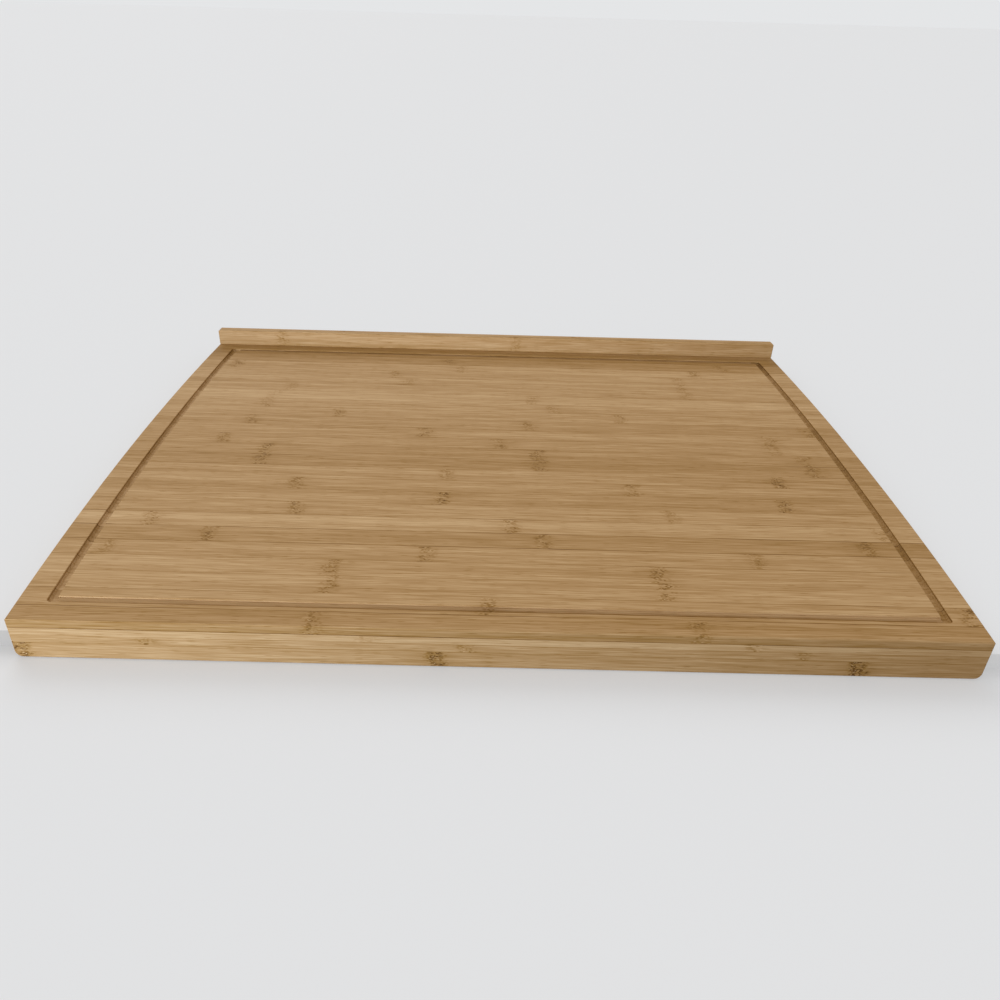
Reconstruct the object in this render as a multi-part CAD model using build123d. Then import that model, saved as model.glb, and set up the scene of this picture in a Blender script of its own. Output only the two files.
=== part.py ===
from build123d import *
from math import sqrt
import os

# Pastry board of laminated bamboo, with a Z-shaped section. A panel of three plies lies on the worktop,
# a lip under its front edge hooks over the worktop's front edge, and an upstand along its back edge
# keeps flour and dough on the board. A routed groove runs in a closed loop round the top.
# Each ply is a row of long strips glued edge to edge, and the plies are glued face to face.
# Lengths are millimetres. X runs along the front edge, Y towards the back and Z up, and the origin is
# the middle of the panel's underside, the face that lies on the worktop.

# Board
board_width = 600.0             # between the short sides, where they swell furthest
board_depth = 470.0             # from the front of the lip to the back of the upstand
side_bow = 7.7                  # swell of each short side between its two corners
arris_bevel = 0.7               # bevel that takes the sharpness off every outer edge

# Plies and their strips
face_ply_thickness = 5.9        # the top ply, and the base ply
core_ply_thickness = 5.1
strip_count = 26                # strips in the top ply, and in the base ply
trimmed_strip_width = 14.6      # the one strip of a ply that is sawn narrower than the rest

# Lip and upstand, each two strips thick
batten_strip_thickness = 5.1
lip_height = 11.9
lip_corner_radius = 4.5         # rounding of the lip's two lower corners
upstand_height = 14.6

# Groove
groove_width = 5.6
groove_depth = 2.8
groove_floor_bevel = 1.3        # slope between the groove's walls and its floor
groove_rim_bevel = 0.3          # bevel along both top edges of the groove
groove_side_inset = 20.5        # from the short side to the middle of the groove
groove_front_inset = 20.8       # from the front edge to the middle of the groove
groove_back_inset = 16.0        # from the foot of the upstand to the middle of the groove

overrun = 2.0                   # how far a cutting shape reaches past what it cuts

# Places that follow from those sizes
front = -board_depth / 2
back = board_depth / 2
batten_depth = 2 * batten_strip_thickness
lip_back = front + batten_depth
upstand_foot = back - batten_depth
core_level = face_ply_thickness
top_level = core_level + core_ply_thickness
panel_top = top_level + face_ply_thickness
lip_bottom = -lip_height
upstand_top = panel_top + upstand_height
bow_radius = (board_depth**2 / 4 + side_bow**2) / (2 * side_bow)
strip_width = (board_depth - trimmed_strip_width) / (strip_count - 1)


def side_reach(y):
    """Distance from the board's middle plane to its bowed short side, at one depth."""
    return board_width / 2 - bow_radius + sqrt(bow_radius**2 - y**2)


def plan(near, far, inset):
    """Face between two straight long edges and the bowed short sides, which are drawn in by an inset."""
    middle = (near + far) / 2
    near_half = side_reach(near) - inset
    middle_half = side_reach(middle) - inset
    far_half = side_reach(far) - inset
    outline = [
        Line((-near_half, near), (near_half, near)),
        ThreePointArc((near_half, near), (middle_half, middle), (far_half, far)),
        Line((far_half, far), (-far_half, far)),
        ThreePointArc((-far_half, far), (-middle_half, middle), (-near_half, near)),
    ]
    return make_face(outline)


def slab(near, far, low, high):
    """A box past both short sides, between two depths and two levels."""
    size = (board_width + 2 * overrun, far - near, high - low)
    return Pos(0, near, low) * Box(*size, align=(Align.CENTER, Align.MIN, Align.MIN))


def sawn(near, far, low, high):
    """A body sawn square from front to back and to the bowed plan at its two ends."""
    return slab(near, far, low, high) & Pos(0, 0, low) * extrude(plan(front, back, 0), high - low)


def groove_cutter():
    """The path of the router bit round the top, with the bit's radius at the loop's outer corners."""
    half = groove_width / 2
    near = front + groove_front_inset
    far = upstand_foot - groove_back_inset
    outer = plan(near - half, far + half, groove_side_inset - half)
    outer = fillet(outer.vertices(), half)
    inner = plan(near + half, far - half, groove_side_inset + half)
    loop = Pos(0, 0, panel_top - groove_depth) * extrude(outer - inner, groove_depth + overrun)
    floor_edges = loop.faces().sort_by(Axis.Z)[0].edges()
    return chamfer(floor_edges, groove_floor_bevel)


def groove_rims(board):
    """The groove's edges in the panel's top face."""
    top = board.faces().filter_by_position(Axis.Z, panel_top, panel_top)
    field = top.sort_by(SortBy.AREA)[-1]
    surround = top.sort_by(SortBy.AREA)[-2]
    return field.edges() + surround.inner_wires()[0].edges()


def edges_at(body, axis, *levels):
    """The edges that lie wholly at one of some levels along an axis."""
    edges = ShapeList()
    for level in levels:
        edges += body.edges().filter_by_position(axis, level, level)
    return edges


def panel():
    """The three plies as one body, bevelled all round but where the lip and the upstand join it flush."""
    body = sawn(front, back, 0, panel_top)
    body = chamfer(body.edges().filter_by(Axis.Z), arris_bevel)
    flat_edges = edges_at(body, Axis.Z, 0, panel_top)
    long_edges = flat_edges.filter_by(Axis.X).sort_by(Axis.Y)
    lip_joint = long_edges[:2].sort_by(Axis.Z)[0]
    upstand_joint = long_edges[-2:].sort_by(Axis.Z)[-1]
    body = chamfer(flat_edges - [lip_joint, upstand_joint], arris_bevel)
    body -= groove_cutter()
    return chamfer(groove_rims(body), groove_rim_bevel)


def lip():
    """The lip as one body, with round lower corners and bevels along its front and back faces."""
    body = sawn(front, lip_back, lip_bottom, 0)
    low_edges = edges_at(body, Axis.Z, lip_bottom).sort_by(Axis.X)
    body = fillet([low_edges[0], low_edges[-1]], lip_corner_radius)
    face_edges = edges_at(body, Axis.Y, front, lip_back)
    return chamfer(face_edges - edges_at(body, Axis.Z, 0), arris_bevel)


def upstand():
    """The upstand as one body, bevelled at its ends and along its top."""
    body = sawn(upstand_foot, back, panel_top, upstand_top)
    body = chamfer(body.edges().filter_by(Axis.Z), arris_bevel)
    return chamfer(edges_at(body, Axis.Z, upstand_top), arris_bevel)


def strips(body, low, high, first_width, count):
    """The strips of one ply from front to back, where the first is sawn to its own width."""
    seams = [front + first_width + number * strip_width for number in range(count - 1)]
    edges = [front, *seams, back]
    ply = body & slab(front, back, low, high)
    return [ply & slab(near, far, low, high) for near, far in zip(edges, edges[1:])]


def save(name, shape):
    shape.label = name
    export_step(shape, os.path.join("parts", name + ".step"))


def save_row(prefix, pieces):
    """One node for each strip, numbered from the front."""
    for number, piece in enumerate(pieces, start=1):
        save(f"{prefix}_{number:02d}", piece)


def save_pair(prefix, body, near, low, high):
    """The front and back strips of the lip or the upstand."""
    middle = near + batten_strip_thickness
    far = near + batten_depth
    save(prefix + "_front_strip", body & slab(near, middle, low, high))
    save(prefix + "_back_strip", body & slab(middle, far, low, high))


os.makedirs("parts", exist_ok=True)
body = panel()
save_row("base_strip", strips(body, 0, core_level, strip_width, strip_count))
core_strips = strips(body, core_level, top_level, trimmed_strip_width / 2, strip_count + 1)
save("core_strips", Compound(children=core_strips))
save_row("top_strip", strips(body, top_level, panel_top, trimmed_strip_width, strip_count))
save_pair("lip", lip(), front, lip_bottom, 0)
save_pair("upstand", upstand(), upstand_foot, panel_top, upstand_top)
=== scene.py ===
"""Looks of a laminated bamboo pastry board: the grain of its strips, the floor, the light and the camera."""

import math
import random

import bpy
from mathutils import Matrix, Vector


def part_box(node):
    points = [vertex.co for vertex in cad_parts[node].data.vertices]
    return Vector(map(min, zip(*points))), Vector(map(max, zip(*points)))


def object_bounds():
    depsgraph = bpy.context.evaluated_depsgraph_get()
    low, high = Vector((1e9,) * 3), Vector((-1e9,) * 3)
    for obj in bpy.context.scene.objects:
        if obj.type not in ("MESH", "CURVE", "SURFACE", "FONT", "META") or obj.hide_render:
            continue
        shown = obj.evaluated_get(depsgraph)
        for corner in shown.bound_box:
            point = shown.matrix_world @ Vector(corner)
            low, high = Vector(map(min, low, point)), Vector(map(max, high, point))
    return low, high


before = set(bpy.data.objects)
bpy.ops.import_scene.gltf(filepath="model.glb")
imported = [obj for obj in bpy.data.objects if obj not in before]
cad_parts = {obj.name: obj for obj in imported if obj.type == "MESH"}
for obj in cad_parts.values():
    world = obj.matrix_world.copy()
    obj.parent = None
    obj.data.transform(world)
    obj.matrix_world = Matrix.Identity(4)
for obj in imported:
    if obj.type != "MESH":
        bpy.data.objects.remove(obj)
cad_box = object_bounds()

# Grain sizes in metres, along the fibres and across them
BAND_SIZE = 0.36, 0.0085                # broad tones within a strip
STREAK_SIZE = 0.13, 0.0019              # long pale and dark streaks
BUNDLE_SIZE = 0.032, 0.0011             # bundles of fibres
FIBRE_SIZE = 0.030, 0.00045             # single fibres
TICK_SIZE = 0.011, 0.0010               # short dark vessels
CELL_SIZE = 0.0048, 0.0016              # dark cells of a knuckle
SWIRL_SIZE = 0.004, 0.004               # curls of the fibres at a knuckle
GAP_SIZE = 0.007, 0.0050                # gaps in a knuckle
PATCH_SIZE = 0.06, 0.06                 # stretches in which a glue line is darker or fainter

# Other lengths in metres. A fade gives where a mark starts and where it is whole
SWIRL_SHIFT = 0.0022                    # how far a curl pushes the fibres aside
KNUCKLE_WANDER = 0.009                  # how far a knuckle strays from a straight line across its strip
KNUCKLE_WAVE = 0.007                    # length of that wandering, across the strip
KNUCKLE_FADE = 0.0085, 0.00085          # from the middle of a knuckle, along the strip
HALO_FADE = 0.022, 0.0                  # from the middle of a knuckle, for the stain round it
SEAM_FADE = 0.0006, 0.0                 # from the middle of a glue line
GROOVE_MARGIN = 0.0125                  # between the board's outline and the zone of the groove
GROOVE_RUN = 0.0320                     # from the outline past the groove's run beside it
GROOVE_FADE = 0.0002, 0.0008            # below the top, for the painted light and shade inside the groove
CREASE_SHADE_FADE = 0.0018, 0.0024            # below the top, for the painted shade of a crease along the floor of the groove's front run
CREASE_SHADE_STRETCH = -0.25, 0.25            # along X, where that painted shade grows from none to whole
RELIEF_HEIGHT = 0.00012                 # of the fibres and the other marks

# Fades that aren't lengths
TICK_FADE = 0.34, 0.14                  # distance from the middle of a tick, in sizes of a tick
TICK_CHOICE = 0.55, 0.75                # a tick's own number, which leaves some of them out
CELL_RIM_INNER = 0.22, 0.36             # distance from the middle of a cell, in sizes of a cell
CELL_RIM_OUTER = 0.62, 0.46
CELL_CORE = 0.24, 0.08
CELL_CHOICE = 0.15, 0.45                # a cell's own number
STAIN_FADE = -0.20, 0.15                # noise in a knuckle
GAP_FADE = -0.25, 0.05                  # noise that breaks a knuckle up
PATCH_FADE = -0.28, 0.18                # noise along a glue line
END_FADE = 0.6, 0.95                    # how squarely a face looks along X, as a cut end does
SEAM_FACE_FADE = 0.5, 0.2               # how squarely a face lies in a glue line, where no line is drawn
WALL_FADE = 0.3, 0.6                    # how squarely a wall of the groove looks along Y, for the painted light on it

# Shares of the marks in the shade, where 0 is dark and 1 is pale, in the roughness and in the relief
PLAIN_SHADE = 0.62
SHADE_SHARES = {
    "band": 0.38,
    "streak": 0.20,
    "bundle": 0.52,
    "fibre": 0.60,
    "tone": 1.0,
    "tick": -0.16,
    "halo": -0.05,
    "stain": -0.11,
    "cell_rim": -0.40,
    "cell_core": 0.38,
    "seam": -0.64,
    "end_grain": -0.17,
    # Painted light on the groove's walls along the fibres, and painted shade in the crease of its front run
    # and on its right run
    "painted_wall_light": 0.16,
    "painted_front_wall_light": 0.17,
    "painted_crease_shade": -0.26,
    "painted_right_run_shade": -0.16,
}
PLAIN_ROUGHNESS = 0.62
ROUGHNESS_SHARES = {"fibre": 0.20, "tick": 0.10, "cell_rim": 0.12, "end_grain": 0.12}
RELIEF_SHARES = {"fibre": 0.9, "bundle": 0.5, "tick": -0.6, "cell_rim": -0.8, "cell_core": 0.3, "seam": -1.0}
RELIEF_STRENGTH = 0.5
SPECULAR = 0.14
NOISE_DETAIL, SWIRL_DETAIL, NOISE_ROUGHNESS = 2.0, 1.0, 0.55

# Top strips from the front: tone above or below straw, darkness of the glue lines, then place along X and
# depth of each knuckle
TOP_STRIPS = (
    (-0.09, 0.9, (-0.112, 0.7), (0.119, 0.7)),
    (0.00, 0.8, (-0.009, 0.7), (0.287, 0.9)),
    (0.04, 0.3, (-0.108, 0.7), (0.105, 0.9)),
    (0.02, 0.5, (-0.108, 0.8), (0.105, 0.8)),
    (0.00, 0.8, (-0.265, 0.5), (-0.051, 0.8), (0.171, 0.6)),
    (-0.07, 1.0, (-0.200, 0.7), (0.030, 0.7), (0.254, 0.6)),
    (0.08, 1.0, (-0.246, 0.8), (0.008, 0.8), (0.272, 0.6)),
    (0.00, 0.6, (-0.148, 1.0), (0.124, 0.5)),
    (0.00, 0.4, (-0.042, 1.0), (0.213, 1.0)),
    (-0.02, 0.4, (-0.155, 0.7), (0.101, 0.8)),
    (-0.02, 0.3, (-0.040, 0.6), (0.219, 1.0)),
    (-0.07, 0.6, (-0.191, 0.8), (0.032, 0.9), (0.252, 0.8)),
    (-0.07, 0.3, (-0.191, 0.8), (0.032, 0.9), (0.252, 0.8)),
    (-0.03, 0.4, (-0.230, 0.7), (0.001, 0.6), (0.231, 0.7)),
    (0.00, 0.3, (-0.062, 0.9), (0.233, 0.6)),
    (-0.03, 0.5, (-0.216, 0.6), (0.026, 0.6), (0.272, 0.6)),
    (0.00, 0.3, (-0.140, 0.6), (0.111, 0.6)),
    (0.00, 0.4, (-0.208, 0.6), (0.052, 0.5)),
    (0.08, 0.5, (-0.208, 0.4), (0.032, 0.4)),
    (0.00, 0.3, (-0.197, 0.4), (0.179, 0.5)),
    (0.03, 0.3, (-0.085, 0.5), (0.179, 0.5)),
    (0.00, 0.4, (-0.101, 0.5), (0.179, 0.5)),
    (0.03, 0.3, (-0.261, 0.9), (-0.036, 0.5), (0.199, 0.9)),
    # The last three strips lie at the foot of the upstand: their dark tones are partly their own colour and
    # partly painted shade of the upstand
    (-0.13, 0.5, (-0.048, 0.5), (0.230, 0.5)),
    (-0.22, 0.5),
    (-0.12, 0.5),
)
# Other strips in the same order of values: the lip, the upstand, the front of the base, and the core
BATTENS = {
    "lip_front_strip": (-0.03, 0.4, (-0.287, 1.5), (-0.038, 1.4), (0.216, 1.6)),
    "lip_back_strip": (-0.02, 0.4, (-0.140, 0.7), (0.105, 0.7)),
    "upstand_front_strip": (0.01, 0.3, (-0.227, 0.6), (0.020, 0.4)),
    "upstand_back_strip": (0.03, 0.3, (-0.160, 0.6), (0.085, 0.6)),
    "base_strip_01": (0.00, 0.4, (-0.211, 0.6), (-0.019, 0.6), (0.184, 0.6)),
}
CORE = (0.08, 0.3, (0.152, 0.6), (-0.080, 0.4))
MOST_KNUCKLES = 3                       # on one strip, as many as a vector holds
NOWHERE = 9.0                           # a place off the board, for a strip with fewer knuckles

# Base strips behind the front one, whose values are drawn between two ends
INTERNODE_SHORT, INTERNODE_LONG = 0.215, 0.265
HIDDEN_TONES = -0.10, 0.08
HIDDEN_DEPTHS = 0.5, 1.0
HIDDEN_SEAM = 0.4                       # the same for all of them

# Each node has its own offset in the grain, and strips that share a node are shifted one after another
OFFSETS = 2.0, 9.0
ROW_SHIFT = (0.73, 0.38, 0.52)
SEED = 26
draw = random.Random(SEED)

# Board sizes that the grain follows
board_low, board_high = (Vector(corner) for corner in cad_box)
trimmed_low, trimmed_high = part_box("top_strip_01")
whole_low, whole_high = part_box("top_strip_02")
strip_width = whole_high.y - whole_low.y
core_first_seam = board_low.y + (trimmed_high.y - trimmed_low.y) / 2

# Camera
CAMERA_PLACE = Vector((-0.0162, -0.6155, 0.3340))
CAMERA_DOWN = math.radians(30.86)       # how far it looks below the horizon
CAMERA_ASIDE = math.radians(0.33)       # how far it looks to the right of straight back
CAMERA_ROLL = math.radians(1.584)
CAMERA_LENS, CAMERA_SENSOR = 29.95, 36.0    # millimetres
CAMERA_SHIFT = 0.0187                   # in widths of the picture

# Floor and light
FLOOR_SIZE = 60.0
STEP_GAP = 0.0003                       # between the floor and the faces of the board beside it
FLOOR_COLOUR = (0.86, 0.86, 0.87)       # as the camera sees it
FLOOR_BOUNCE = (0.38, 0.37, 0.36)       # as it throws light back at the board
FLOOR_ROUGHNESS, FLOOR_SPECULAR = 0.8, 0.2
BACKDROP_COLOUR = (0.78, 0.79, 0.80)    # what the camera sees past the floor
BACKDROP_SHARE = 0.45                   # how much of the floor's look is that same colour
SKY_COLOUR = (1.0, 1.0, 1.0)
SKY_STRENGTH = 0.67
KEY_PLACE, KEY_AIM = Vector((-1.6, -2.5, 0.32)), Vector((-0.36, -0.235, 0.0))
KEY_SIZE, KEY_SPREAD, KEY_POWER = 0.3, math.radians(29.0), 2.05
KEY_COLOUR = (0.83, 1.0, 1.28)
SUN_SIDE = Vector((-0.5, 1.1, 1.1))     # where the sun stands, seen from the board
SUN_ANGLE, SUN_STRENGTH = math.radians(40.0), 0.86
SUN_COLOUR = (0.98, 0.98, 0.97)


def opaque(colour):
    """A colour with the alpha that node inputs ask for."""
    return (*colour, 1.0)


def linear(red, green, blue):
    """Scene colour of a display colour given in steps of 255, by the standard display curve."""
    return opaque(((c / 255 + 0.055) / 1.055) ** 2.4 for c in (red, green, blue))


# Colours of the wood, each with its shade
WOOD_COLOURS = (
    (0.0, linear(100, 66, 28)),
    (0.36, linear(148, 109, 54)),
    (PLAIN_SHADE, linear(176, 138, 91)),
    (0.95, linear(208, 174, 128)),
)


class Graph:
    """Adds nodes to a tree. An input is a number, a tuple or another node's output."""

    def __init__(self, tree):
        self.tree = tree

    def add(self, kind, inputs=(), **settings):
        node = self.tree.nodes.new(kind)
        for name, value in settings.items():
            setattr(node, name, value)
        for key, value in inputs:
            self.feed(node.inputs[key], value)
        return node

    def feed(self, socket, value):
        if isinstance(value, bpy.types.NodeSocket):
            self.tree.links.new(value, socket)
        else:
            socket.default_value = value

    def math(self, operation, *values):
        return self.add("ShaderNodeMath", enumerate(values), operation=operation).outputs[0]

    def vector(self, operation, *values):
        return self.add("ShaderNodeVectorMath", enumerate(values), operation=operation).outputs[0]

    def split(self, value):
        return self.add("ShaderNodeSeparateXYZ", [(0, value)]).outputs

    def combine(self, *values):
        return self.add("ShaderNodeCombineXYZ", enumerate(values)).outputs[0]

    def fade(self, value, start, whole):
        """0 at the start and 1 where it is whole, smooth between them."""
        values = (value, start, whole, 0.0, 1.0)
        return self.add("ShaderNodeMapRange", enumerate(values), interpolation_type="SMOOTHSTEP").outputs[0]

    def stretch(self, point, along, across):
        return self.vector("MULTIPLY", point, (1 / along, 1 / across, 1 / across))

    def noise(self, point, detail=NOISE_DETAIL):
        """Noise about zero, mostly within half a unit of it."""
        inputs = [("Vector", point), ("Scale", 1.0), ("Detail", detail), ("Roughness", NOISE_ROUGHNESS)]
        return self.math("SUBTRACT", self.add("ShaderNodeTexNoise", inputs).outputs[0], 0.5)

    def cells(self, point):
        """Distance to the middle of the nearest cell, and a number of that cell's own."""
        node = self.add("ShaderNodeTexVoronoi", [("Vector", point), ("Scale", 1.0)])
        return node.outputs["Distance"], self.split(node.outputs["Color"])[0]

    def product(self, *values):
        result = values[0]
        for value in values[1:]:
            result = self.math("MULTIPLY", result, value)
        return result

    def total(self, start, marks, shares):
        """The start plus each mark times its share."""
        for name, share in shares.items():
            start = self.math("MULTIPLY_ADD", marks[name], share, start)
        return start


def knuckle_fields(g, at, seed, places, depths):
    """How strongly a point belongs to a knuckle, and to the wider stain round one."""
    x, y, z = g.split(at)
    across = g.combine(seed, g.math("DIVIDE", y, KNUCKLE_WAVE), g.math("DIVIDE", z, KNUCKLE_WAVE))
    strayed = g.math("MULTIPLY_ADD", g.noise(across), 2 * KNUCKLE_WANDER, x)
    gaps = g.fade(g.noise(g.stretch(at, *GAP_SIZE)), *GAP_FADE)
    knuckle, halo = 0.0, 0.0
    for place, depth in zip(g.split(places), g.split(depths)):
        distance = g.math("ABSOLUTE", g.math("SUBTRACT", strayed, place))
        near = g.product(g.fade(distance, *KNUCKLE_FADE), gaps, depth)
        wide = g.product(g.fade(distance, *HALO_FADE), depth)
        knuckle = g.math("MAXIMUM", knuckle, near)
        halo = g.math("MAXIMUM", halo, wide)
    return knuckle, halo


def fibre_marks(g, point, knuckle, long_grain):
    """Tones, streaks and fibres along the strip, and the cells at a knuckle, where the fibres swirl."""
    swirl = g.noise(g.stretch(point, *SWIRL_SIZE), SWIRL_DETAIL)
    aside = g.product(swirl, knuckle, 2 * SWIRL_SHIFT)
    bent = g.vector("ADD", point, g.combine(0.0, aside, aside))
    tick_distance, tick_number = g.cells(g.stretch(bent, *TICK_SIZE))
    cell_distance, cell_number = g.cells(g.stretch(bent, *CELL_SIZE))
    rim = g.product(g.fade(cell_distance, *CELL_RIM_INNER), g.fade(cell_distance, *CELL_RIM_OUTER))
    return {
        "band": g.product(g.noise(g.stretch(point, *BAND_SIZE)), long_grain),
        "streak": g.product(g.noise(g.stretch(point, *STREAK_SIZE)), long_grain),
        "bundle": g.noise(g.stretch(bent, *BUNDLE_SIZE)),
        "fibre": g.noise(g.stretch(bent, *FIBRE_SIZE)),
        "tick": g.product(g.fade(tick_distance, *TICK_FADE), g.fade(tick_number, *TICK_CHOICE)),
        "stain": g.product(knuckle, g.fade(swirl, *STAIN_FADE)),
        "cell_rim": g.product(rim, knuckle, g.fade(cell_number, *CELL_CHOICE)),
        "cell_core": g.product(g.fade(cell_distance, *CELL_CORE), knuckle),
    }


def glue_line(g, distance, pitch, facing):
    """A line at each seam of one direction, except on faces that lie in such a seam themselves."""
    from_seam = g.math("PINGPONG", distance, g.math("MULTIPLY", pitch, 0.5))
    return g.product(g.fade(from_seam, *SEAM_FADE), g.fade(facing, *SEAM_FACE_FADE))


def groove_light_and_shade(g, x, y, from_top, facing_y, groove):
    """Painted light on the walls where the groove runs along the fibres, painted shade in a crease along its
    front run and on its right run.
    """
    from_middle = g.math("ABSOLUTE", x)
    within_x = g.math("LESS_THAN", from_middle, board_high.x - GROOVE_MARGIN)
    within_y = g.math("LESS_THAN", g.math("ABSOLUTE", y), board_high.y - GROOVE_MARGIN)
    routed = g.product(g.fade(from_top, *GROOVE_FADE), within_x, within_y, groove)
    front_run = g.math("LESS_THAN", y, board_low.y + GROOVE_RUN)
    right_run = g.math("GREATER_THAN", x, board_high.x - GROOVE_RUN)
    between_sides = g.math("LESS_THAN", from_middle, board_high.x - GROOVE_RUN)
    # Painted light on the groove's walls that face along Y
    painted_wall_light = g.product(routed, g.fade(facing_y, *WALL_FADE))
    # Painted shade near the floor of the groove, growing from left to right
    crease_shade_reach = g.product(g.fade(x, *CREASE_SHADE_STRETCH), g.fade(from_top, *CREASE_SHADE_FADE))
    return {
        # painted light on the walls along the fibres, with more of it on the front run
        "painted_wall_light": painted_wall_light,
        "painted_front_wall_light": g.product(painted_wall_light, front_run),
        # painted shade in a crease along the front run
        "painted_crease_shade": g.product(routed, front_run, between_sides, crease_shade_reach),
        # painted shade on the right run of the groove
        "painted_right_run_shade": g.product(routed, right_run),
    }


def wood_colour(g, shade):
    """The wood's colour at a shade, from dark to pale."""
    ramp = g.add("ShaderNodeValToRGB", [(0, shade)])
    elements = ramp.color_ramp.elements
    for position, colour in WOOD_COLOURS[1:-1]:
        elements.new(position)
    for element, (position, colour) in zip(elements, WOOD_COLOURS):
        element.position = position
        element.color = colour
    return ramp.outputs[0]


GRAIN_INPUTS = (
    ("Offset", "NodeSocketVector"),
    ("Near", "NodeSocketFloat"),
    ("Width", "NodeSocketFloat"),
    ("Low", "NodeSocketFloat"),
    ("Height", "NodeSocketFloat"),
    ("Tone", "NodeSocketFloat"),
    ("Seam", "NodeSocketFloat"),
    ("Groove", "NodeSocketFloat"),
    ("Knuckles", "NodeSocketVector"),
    ("Depths", "NodeSocketVector"),
)
GRAIN_OUTPUTS = (
    ("Base Color", "NodeSocketColor"),
    ("Roughness", "NodeSocketFloat"),
    ("Normal", "NodeSocketVector"),
)


def grain_group():
    """Bamboo cut lengthwise into strips, as colour, roughness and fine relief. The fibres run along X."""
    tree = bpy.data.node_groups.new("bamboo_grain", "ShaderNodeTree")
    for name, kind in GRAIN_INPUTS:
        tree.interface.new_socket(name, in_out="INPUT", socket_type=kind)
    for name, kind in GRAIN_OUTPUTS:
        tree.interface.new_socket(name, in_out="OUTPUT", socket_type=kind)
    g = Graph(tree)
    given = g.add("NodeGroupInput").outputs
    coordinates = g.add("ShaderNodeTexCoord").outputs
    at = coordinates["Object"]
    x, y, z = g.split(at)
    facing_x, facing_y, facing_z = (g.math("ABSOLUTE", part) for part in g.split(coordinates["Normal"]))
    end_grain = g.fade(facing_x, *END_FADE)
    long_grain = g.math("SUBTRACT", 1.0, end_grain)

    # Each strip of a row has its own stretch of grain
    from_near = g.math("SUBTRACT", y, given["Near"])
    row = g.math("FLOOR", g.math("DIVIDE", from_near, given["Width"]))
    row_shift = g.vector("MULTIPLY", g.combine(row, row, row), ROW_SHIFT)
    point = g.vector("ADD", g.vector("ADD", at, given["Offset"]), row_shift)
    knuckle, halo = knuckle_fields(g, at, g.split(point)[1], given["Knuckles"], given["Depths"])

    # Glue lines between strips and between plies
    from_low = g.math("SUBTRACT", z, given["Low"])
    from_top = g.math("SUBTRACT", given["Height"], from_low)
    strip_line = glue_line(g, from_near, given["Width"], facing_y)
    ply_line = glue_line(g, from_low, given["Height"], facing_z)
    patch = g.fade(g.noise(g.stretch(point, *PATCH_SIZE)), *PATCH_FADE)
    seam = g.product(g.math("MAXIMUM", strip_line, ply_line), patch, given["Seam"])

    marks = {"tone": given["Tone"], "halo": halo, "seam": seam, "end_grain": end_grain}
    marks |= fibre_marks(g, point, knuckle, long_grain)
    # Painted light and shade inside the groove
    marks |= groove_light_and_shade(g, x, y, from_top, facing_y, given["Groove"])
    shade = g.total(PLAIN_SHADE, marks, SHADE_SHARES)
    relief = g.total(0.0, marks, RELIEF_SHARES)
    relief_inputs = [("Height", relief), ("Strength", RELIEF_STRENGTH), ("Distance", RELIEF_HEIGHT)]
    result = g.add("NodeGroupOutput").inputs
    g.feed(result["Base Color"], wood_colour(g, shade))
    g.feed(result["Roughness"], g.total(PLAIN_ROUGHNESS, marks, ROUGHNESS_SHARES))
    g.feed(result["Normal"], g.add("ShaderNodeBump", relief_inputs).outputs[0])
    return tree


def bamboo(grain_tree, node, figure, row=None, groove=0.0):
    """Gives a node its own bamboo, with the tone, glue lines and knuckles of its figure.

    A row gives a seam and the width of the strips, where many of them share the node.
    """
    low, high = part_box(node)
    near, width = row or (low.y, high.y - low.y)
    tone, seam, *knuckles = figure
    knuckles += [(NOWHERE, 0.0)] * (MOST_KNUCKLES - len(knuckles))
    places, depths = zip(*knuckles)
    values = (
        ("Offset", [draw.uniform(*OFFSETS) for axis in "xyz"]),
        ("Near", near),
        ("Width", width),
        ("Low", low.z),
        ("Height", high.z - low.z),
        ("Tone", tone),
        ("Seam", seam),
        ("Groove", groove),
        ("Knuckles", places),
        ("Depths", depths),
    )
    material = bpy.data.materials.new("bamboo_" + node)
    material.use_nodes = True
    shader = material.node_tree.nodes["Principled BSDF"]
    shader.inputs["Specular IOR Level"].default_value = SPECULAR
    g = Graph(material.node_tree)
    grain = g.add("ShaderNodeGroup", node_tree=grain_tree)
    for name, value in values:
        g.feed(grain.inputs[name], value)
    for name, kind in GRAIN_OUTPUTS:
        g.feed(shader.inputs[name], grain.outputs[name])
    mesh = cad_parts[node].data
    mesh.materials.clear()
    mesh.materials.append(material)


def hidden_figure():
    """The figure of a base strip behind the front one, with knuckles one internode apart."""
    first = draw.uniform(board_low.x, board_low.x + INTERNODE_LONG)
    internode = draw.uniform(INTERNODE_SHORT, INTERNODE_LONG)
    tone = draw.uniform(*HIDDEN_TONES)
    places = [first + number * internode for number in range(MOST_KNUCKLES)]
    return (tone, HIDDEN_SEAM, *((place, draw.uniform(*HIDDEN_DEPTHS)) for place in places))


def board():
    """Gives every strip its bamboo. The top strips, which hold the groove, also carry its painted light and
    shade.
    """
    grain_tree = grain_group()
    for number, figure in enumerate(TOP_STRIPS, start=1):
        bamboo(grain_tree, f"top_strip_{number:02d}", figure, groove=1.0)
    bamboo(grain_tree, "core_strips", CORE, row=(core_first_seam, strip_width))
    for name in sorted(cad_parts):
        if name in BATTENS:
            bamboo(grain_tree, name, BATTENS[name])
        elif name.startswith("base_strip"):
            bamboo(grain_tree, name, hidden_figure())


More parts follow.
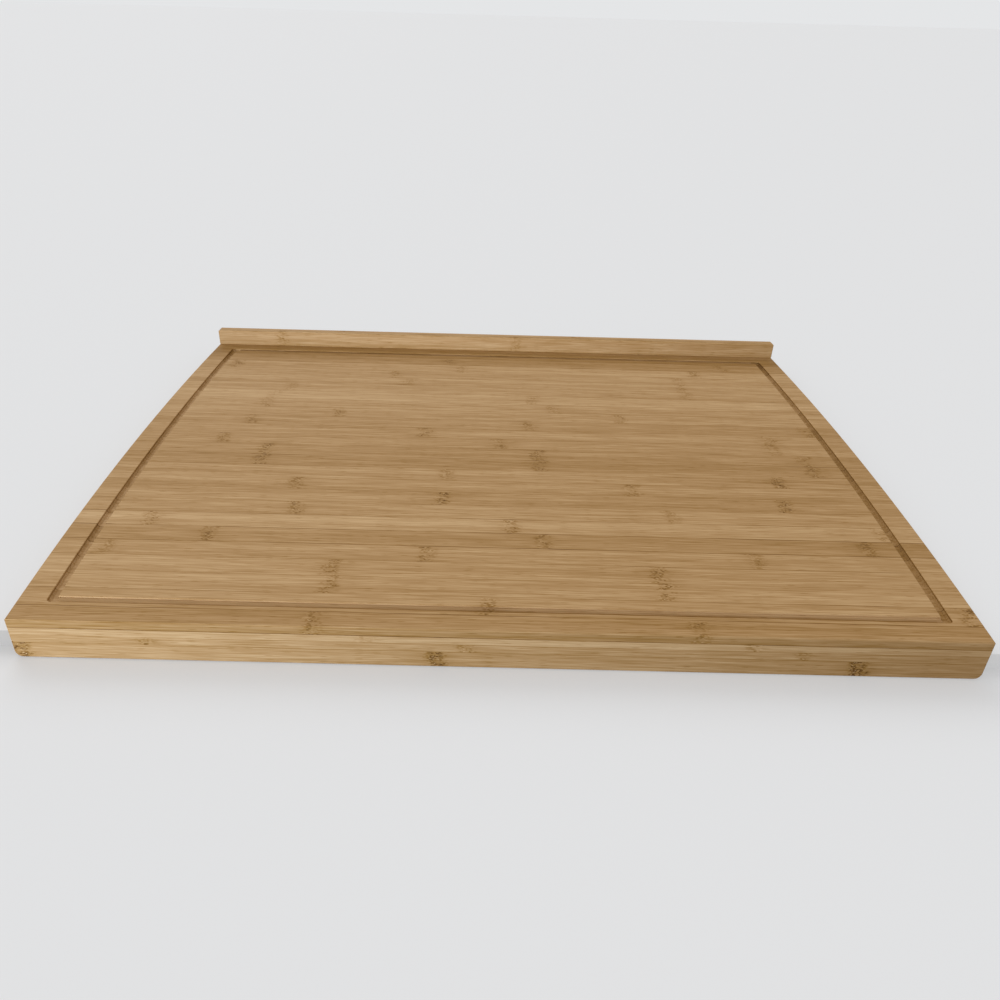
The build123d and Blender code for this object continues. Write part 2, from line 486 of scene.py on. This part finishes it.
def floor_paint():
    """A pale paint, paler to the camera than to the light that it throws back."""
    material = bpy.data.materials.new("floor_paint")
    material.use_nodes = True
    shader = material.node_tree.nodes["Principled BSDF"]
    shader.inputs["Roughness"].default_value = FLOOR_ROUGHNESS
    shader.inputs["Specular IOR Level"].default_value = FLOOR_SPECULAR
    g = Graph(material.node_tree)
    seen = g.add("ShaderNodeLightPath").outputs["Is Camera Ray"]
    colours = [(0, seen), (1, opaque(FLOOR_BOUNCE)), (2, opaque(FLOOR_COLOUR))]
    g.feed(shader.inputs["Base Color"], g.add("ShaderNodeMixRGB", colours).outputs[0])
    glow = g.add("ShaderNodeEmission", [("Color", opaque(BACKDROP_COLOUR)), ("Strength", 1.0)])
    share = g.math("MULTIPLY", seen, BACKDROP_SHARE)
    look = g.add("ShaderNodeMixShader", [(0, share), (1, shader.outputs[0]), (2, glow.outputs[0])])
    g.feed(material.node_tree.nodes["Material Output"].inputs["Surface"], look.outputs[0])
    return material


def floor():
    """A floor with one step: the panel lies on the upper level, and the lip hangs in front of it."""
    half = FLOOR_SIZE / 2
    lip_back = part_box("lip_back_strip")[1].y + STEP_GAP
    profile = ((-half, board_low.z), (lip_back, board_low.z), (lip_back, 0.0), (half, 0.0))
    vertices = [(x, y, z - STEP_GAP) for y, z in profile for x in (-half, half)]
    faces = [(2 * n, 2 * n + 1, 2 * n + 3, 2 * n + 2) for n in range(len(profile) - 1)]
    mesh = bpy.data.meshes.new("floor")
    mesh.from_pydata(vertices, [], faces)
    mesh.materials.append(floor_paint())
    piece = bpy.data.objects.new("floor", mesh)
    bpy.context.scene.collection.objects.link(piece)


def sky():
    """An even white sky, which the camera sees as a plain backdrop."""
    world = bpy.data.worlds.new("sky")
    world.use_nodes = True
    background = world.node_tree.nodes["Background"]
    background.inputs["Color"].default_value = opaque(SKY_COLOUR)
    background.inputs["Strength"].default_value = SKY_STRENGTH
    g = Graph(world.node_tree)
    backdrop = g.add("ShaderNodeBackground", [("Color", opaque(BACKDROP_COLOUR)), ("Strength", 1.0)])
    seen = g.add("ShaderNodeLightPath").outputs["Is Camera Ray"]
    look = g.add("ShaderNodeMixShader", [(0, seen), (1, background.outputs[0]), (2, backdrop.outputs[0])])
    g.feed(world.node_tree.nodes["World Output"].inputs["Surface"], look.outputs[0])
    bpy.context.scene.world = world


def lamp(name, kind, place, aim, power, colour):
    """A light that stands at a place and faces its aim."""
    data = bpy.data.lights.new(name, kind)
    data.energy = power
    data.color = colour
    stand = bpy.data.objects.new(name, data)
    stand.location = place
    stand.rotation_euler = (aim - place).to_track_quat("-Z", "Y").to_euler()
    bpy.context.scene.collection.objects.link(stand)
    return stand


def lamps():
    """A low lamp at the front left, which lights the board alone, and a soft sun behind the board."""
    key = lamp("key", "AREA", KEY_PLACE, KEY_AIM, KEY_POWER, KEY_COLOUR)
    key.data.shape = "DISK"
    key.data.size = KEY_SIZE
    key.data.spread = KEY_SPREAD
    key.light_linking.receiver_collection = bpy.data.collections.new("lit_by_key")
    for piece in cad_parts.values():
        key.light_linking.receiver_collection.objects.link(piece)
    sun = lamp("sun", "SUN", SUN_SIDE, Vector(), SUN_STRENGTH, SUN_COLOUR)
    sun.data.angle = SUN_ANGLE


def camera():
    """The photograph's point of view, from in front of the board and a little tilted."""
    flat = math.cos(CAMERA_DOWN)
    ahead = Vector((flat * math.sin(CAMERA_ASIDE), flat * math.cos(CAMERA_ASIDE), -math.sin(CAMERA_DOWN)))
    turn = ahead.to_track_quat("-Z", "Y").to_matrix() @ Matrix.Rotation(CAMERA_ROLL, 3, "Z")
    data = bpy.data.cameras.new("camera")
    data.lens = CAMERA_LENS
    data.sensor_width = CAMERA_SENSOR
    data.shift_x = CAMERA_SHIFT
    eye = bpy.data.objects.new("camera", data)
    eye.matrix_world = Matrix.Translation(CAMERA_PLACE) @ turn.to_4x4()
    bpy.context.scene.collection.objects.link(eye)
    bpy.context.scene.camera = eye


board()
floor()
sky()
lamps()
camera()
bpy.context.scene.view_settings.view_transform = "Standard"
